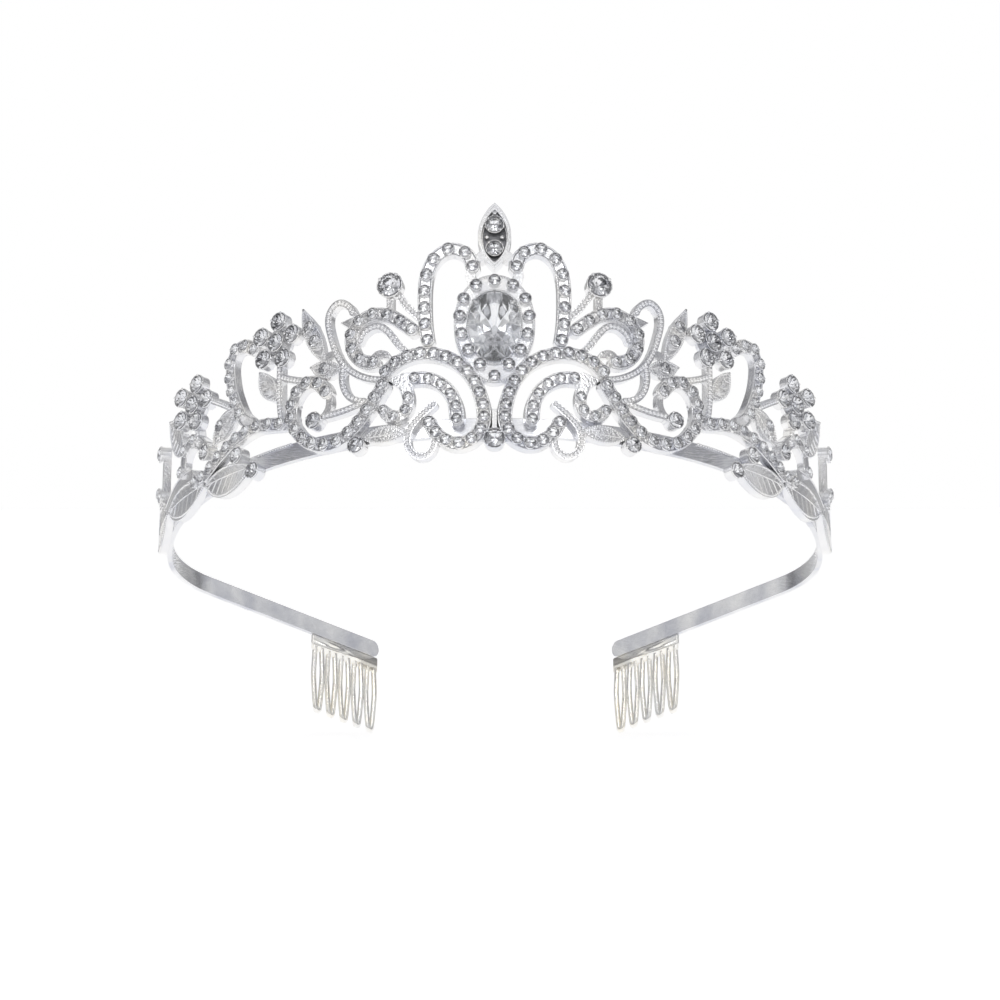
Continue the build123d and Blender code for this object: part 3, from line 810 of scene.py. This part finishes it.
# painted reflection and shade on the crystal's foil: facets below its middle are painted darker,
# facets above lighter, each a little brighter or darker at random
painted_facet_light = []
for index, polygon in enumerate(crystal.polygons):
    place = polygon.center
    swing = 0.5 + 0.5 * sin(7.3 * index + 40 * place.x / MM)  # differs from facet to facet
    low_half = place.z < crystal_centre.z
    painted_facet_light.append(0.35 + 0.35 * swing if low_half else 0.62 + 0.3 * swing)
facet.data.foreach_set("value", painted_facet_light)
crystal.materials.append(crystal_glass)
crystal.materials.append(crystal_foil)
girdle_depth = worn(0, -CRYSTAL_GIRDLE + 0.3, 0).dot(FRONT)
crystal.polygons.foreach_set(
    "material_index", [int(face.center.dot(FRONT) < girdle_depth) for face in crystal.polygons]
)
finished_piece("crystal_cut", crystal, ("centre_crystal",), smooth=False)

# ---- navette: a dark plate as painted shade in the recess, rim wires and grains ----
NAVETTE_TOP, NAVETTE_BOTTOM, NAVETTE_HALF = 45.7, 31.5, 3.2
NAVETTE_BACK, NAVETTE_FLOOR, NAVETTE_DEPTH = 67.6, 0.7, 2.2


def boat(inset, level, count=9):
    """Right and left sides of a boat outline inset from the bezel's edge, at one level."""
    half = NAVETTE_HALF - inset
    top, bottom = NAVETTE_TOP - 2 * inset, NAVETTE_BOTTOM + 2 * inset
    rise = (top - bottom) / 2
    radius = (rise * rise + half * half) / (2 * half)
    swing = []
    for index in range(count):
        up = rise - 2 * rise * index / (count - 1)
        across = (radius * radius - up * up) ** 0.5 - (radius - half)
        swing.append((max(across, 0.0), (top + bottom) / 2 + up))
    right = [worn(across, -level, up) for across, up in swing]
    left = [worn(-across, -level, up) for across, up in swing]
    return right, left


def plate(name, outline, depth, finish):
    """A thin closed plate with the given outline, standing back from it by depth."""
    shape = bmesh.new()
    front = [shape.verts.new(p) for p in outline]
    back = [shape.verts.new(p - FRONT * depth * MM) for p in outline]
    shape.faces.new(front)
    shape.faces.new(list(reversed(back)))
    for i in range(len(front)):
        after = (i + 1) % len(front)
        shape.faces.new((front[i], back[i], back[after], front[after]))
    bmesh.ops.recalc_face_normals(shape, faces=shape.faces)
    mesh = bpy.data.meshes.new(name)
    shape.to_mesh(mesh)
    shape.free()
    return finished_piece(name, mesh, material=finish, smooth=False)


recess_floor = NAVETTE_BACK + NAVETTE_FLOOR
right, left = boat(0.72, recess_floor + 0.05, 17)
# the recess floor is a dark plate: painted shade
plate("navette_recess", right + list(reversed(left[1:-1])), 0.2, painted_shade_silver)
right, left = boat(0.34, NAVETTE_BACK + NAVETTE_DEPTH - 0.12)
wires("navette_rim", [right, left], thickness=0.2, spacing=0.5)
right, left = boat(0.85, recess_floor + 0.5)
wires("navette_inner_rim", [right, left], thickness=0.18, spacing=0.34, beaded=True)
grains = [
    (worn(x, -(recess_floor + 0.45), up), FRONT, 0.55 * MM)
    for x, up in ((0, 43.9), (1.45, 38.8), (-1.45, 38.8), (0, 33.3))
]
GRAIN_PROFILE = ((0.55, -0.8), (0.95, -0.25), (0.95, 0.25), (0.55, 0.75), (0.15, 0.95))
grain_rings = [ring(radius, height, 8) for radius, height in GRAIN_PROFILE]
grain_master = hidden(master("grain", grain_rings, closed=True))
finished_piece("navette_grains", grow(set_on_seats, seat_mesh(grains), Shape=grain_master,
                                      Finish=silver, Smooth=True, Seed=1))

# ---- combs: a spine with hairpin teeth whose two legs bow apart ----
BAND_RADIUS, ARM_RADIUS, ARM_TURN, ARM_LENGTH = 66.5, 28.0, radians(40), 52.8
BAND_UNDERSIDE = 1.8
COMB_LENGTH, COMB_SPINE, COMB_TEETH, TOOTH_REACH = 21.0, 3.4, 5, 17.7
SPINE_HALF_THICKNESS, SPINE_INSET, SPINE_SOFTENING = 0.4, 0.05, 0.22
LEG_THICKNESS, LEG_BOW = 0.58, 0.5


def comb_place(side, back, down, out):
    """A place on a comb: back from the arm's end, down from the band, out of its plane."""
    way_x, way_y = -sin(ARM_TURN), cos(ARM_TURN)
    end_x = BAND_RADIUS - ARM_RADIUS + ARM_RADIUS * cos(ARM_TURN) + ARM_LENGTH * way_x
    end_y = ARM_RADIUS * sin(ARM_TURN) + ARM_LENGTH * way_y
    x = end_x - back * way_x + out * way_y
    y = end_y - back * way_y - out * way_x
    return worn(side * x, y, -BAND_UNDERSIDE - down)


def tooth_line(side, middle):
    """One hairpin tooth: down one leg, round the tip and up the other."""
    tip = TOOTH_REACH - LEG_THICKNESS - 0.05
    half = [(1.0, 2.6, 0.0), (0.98, 5.2, 0.4), (0.96, 8.8, 0.75), (0.82, 12.6, 0.45),
            (0.52, tip - 0.7, 0.08)]
    down_leg = [(-across, down, -bow) for across, down, bow in half]
    up_leg = [(across, down, bow) for across, down, bow in reversed(half)]
    return [
        comb_place(side, middle + across, down, bow * LEG_BOW)
        for across, down, bow in down_leg + [(0.0, tip, 0.0)] + up_leg
    ]


def comb_mesh(side):
    """One comb: swept teeth joined by a softened spine."""
    pitch = COMB_LENGTH / COMB_TEETH
    teeth = [tooth_line(side, (tooth + 0.5) * pitch) for tooth in range(COMB_TEETH)]
    mesh = grow(wall_wire, lines_mesh(teeth), Shift=0.0, Thickness=LEG_THICKNESS * MM,
                Spacing=0.5 * MM, Beaded=False, Axis=tuple(BAND_AXIS), Finish=comb_silver)
    spine = bmesh.new()
    corners = [
        spine.verts.new(comb_place(side, back, down, out))
        for back in (SPINE_INSET, COMB_LENGTH - SPINE_INSET)
        for down in (0.0, COMB_SPINE)
        for out in (-SPINE_HALF_THICKNESS, SPINE_HALF_THICKNESS)
    ]
    for loop in ((0, 1, 3, 2), (4, 6, 7, 5), (0, 4, 5, 1),
                 (2, 3, 7, 6), (0, 2, 6, 4), (1, 5, 7, 3)):
        spine.faces.new([corners[index] for index in loop])
    bmesh.ops.bevel(spine, geom=list(spine.edges), offset=SPINE_SOFTENING * MM, segments=3,
                    affect="EDGES")
    bmesh.ops.recalc_face_normals(spine, faces=spine.faces)
    spine.from_mesh(mesh)
    spine.to_mesh(mesh)
    spine.free()
    return mesh


for side, label in SIDES:
    finished_piece(f"comb_hairpin_{label}", comb_mesh(side),
                   (f"comb_{label}",), comb_silver, True)

for item in masters:
    bpy.data.objects.remove(item)


# ---- floor, light and camera ----
def level_floor(name, height, size, material):
    """A square floor, level and facing up."""
    half = size / 2
    corners = [(x * half, y * half, height) for x, y in ((-1, -1), (1, -1), (1, 1), (-1, 1))]
    mesh = bpy.data.meshes.new(name)
    mesh.from_pydata(corners, [], [(0, 1, 2, 3)])
    mesh.materials.append(material)
    card = bpy.data.objects.new(name, mesh)
    collection.objects.link(card)


def matt(name, colour, glow):
    material, _, bsdf = shader(name)
    set_values(bsdf, Base_Color=(*colour, 1), Roughness=0.9, Specular_IOR_Level=0.1,
               Emission_Color=(1, 1, 1, 1), Emission_Strength=glow)
    return material


FLOOR_DROP, FLOOR_SIZE, FLOOR_WHITE, FLOOR_GLOW = 0.2 * MM, 40, (0.95, 0.95, 0.95), 0.42
level_floor("floor", cad_low.z - FLOOR_DROP, FLOOR_SIZE,
            matt("white_floor", FLOOR_WHITE, FLOOR_GLOW))


LIGHT_AIM, LIGHT_SIZE = Vector((0, -0.03, 0.02)), 0.3


def soft_light(name, place, power):
    """A square area light that points at the tiara."""
    lamp = bpy.data.lights.new(name, "AREA")
    lamp.energy = power
    lamp.size = LIGHT_SIZE
    item = bpy.data.objects.new(name, lamp)
    collection.objects.link(item)
    item.location = place
    item.rotation_euler = (LIGHT_AIM - Vector(place)).to_track_quat("-Z", "Y").to_euler()


soft_light("key", (-0.45, -0.9, 0.8), 1.1)
soft_light("fill", (0.45, -0.9, 0.8), 0.9)

PANEL_SCALE = 3.1
SURROUND_STRENGTH = 1.2


def studio_surroundings():
    """White behind the tiara; for light and reflections, bright panels with dim gaps."""
    world = bpy.data.worlds.new("studio")
    world.use_nodes = True
    tree = world.node_tree
    place = tree.nodes.new("ShaderNodeTexCoord").outputs["Generated"]
    even = tree.nodes.new("ShaderNodeVectorMath")
    even.operation = "ABSOLUTE"
    tree.links.new(place, even.inputs[0])
    panels = ramp(tree, noise(tree, PANEL_SCALE, 1, even.outputs[0]), (
        (0.36, (0.18, 0.18, 0.19)), (0.45, (0.66, 0.66, 0.68)), (0.54, (1.0, 1.0, 1.0)),
    ))
    height = tree.nodes.new("ShaderNodeSeparateXYZ")
    tree.links.new(place, height.inputs[0])
    level = ramp(tree, remap(tree, height.outputs["Z"], 0.5, 1.0), (
        (0.42, (0.78,) * 3), (0.52, (0.42,) * 3), (0.66, (0.74,) * 3), (0.78, (0.88,) * 3),
        (0.88, (0.84,) * 3), (0.97, (0.70,) * 3),
    ))
    both = tree.nodes.new("ShaderNodeMix")
    both.data_type = "RGBA"
    both.blend_type = "MULTIPLY"
    both.inputs["Factor"].default_value = 1.0
    tree.links.new(panels, both.inputs["A"])
    tree.links.new(level, both.inputs["B"])
    lit = tree.nodes["Background"]
    lit.inputs["Strength"].default_value = SURROUND_STRENGTH
    tree.links.new(both.outputs["Result"], lit.inputs["Color"])
    plain = tree.nodes.new("ShaderNodeBackground")
    plain.inputs["Color"].default_value = (1, 1, 1, 1)
    seen = tree.nodes.new("ShaderNodeLightPath").outputs["Is Camera Ray"]
    choice = tree.nodes.new("ShaderNodeMixShader")
    tree.links.new(seen, choice.inputs[0])
    tree.links.new(lit.outputs[0], choice.inputs[1])
    tree.links.new(plain.outputs[0], choice.inputs[2])
    tree.links.new(choice.outputs[0], tree.nodes["World Output"].inputs["Surface"])
    return world


scene = bpy.context.scene
scene.world = studio_surroundings()
scene.view_settings.view_transform = "Standard"

lens = bpy.data.cameras.new("camera")
lens.lens = 133.56
lens.sensor_width = 36
lens.clip_start = 0.01
lens.clip_end = 100
camera = bpy.data.objects.new("camera", lens)
collection.objects.link(camera)
camera.location = (0.00104, -0.7617, 0.0113)
camera.rotation_euler = (pi / 2, 0, 0)
scene.camera = camera
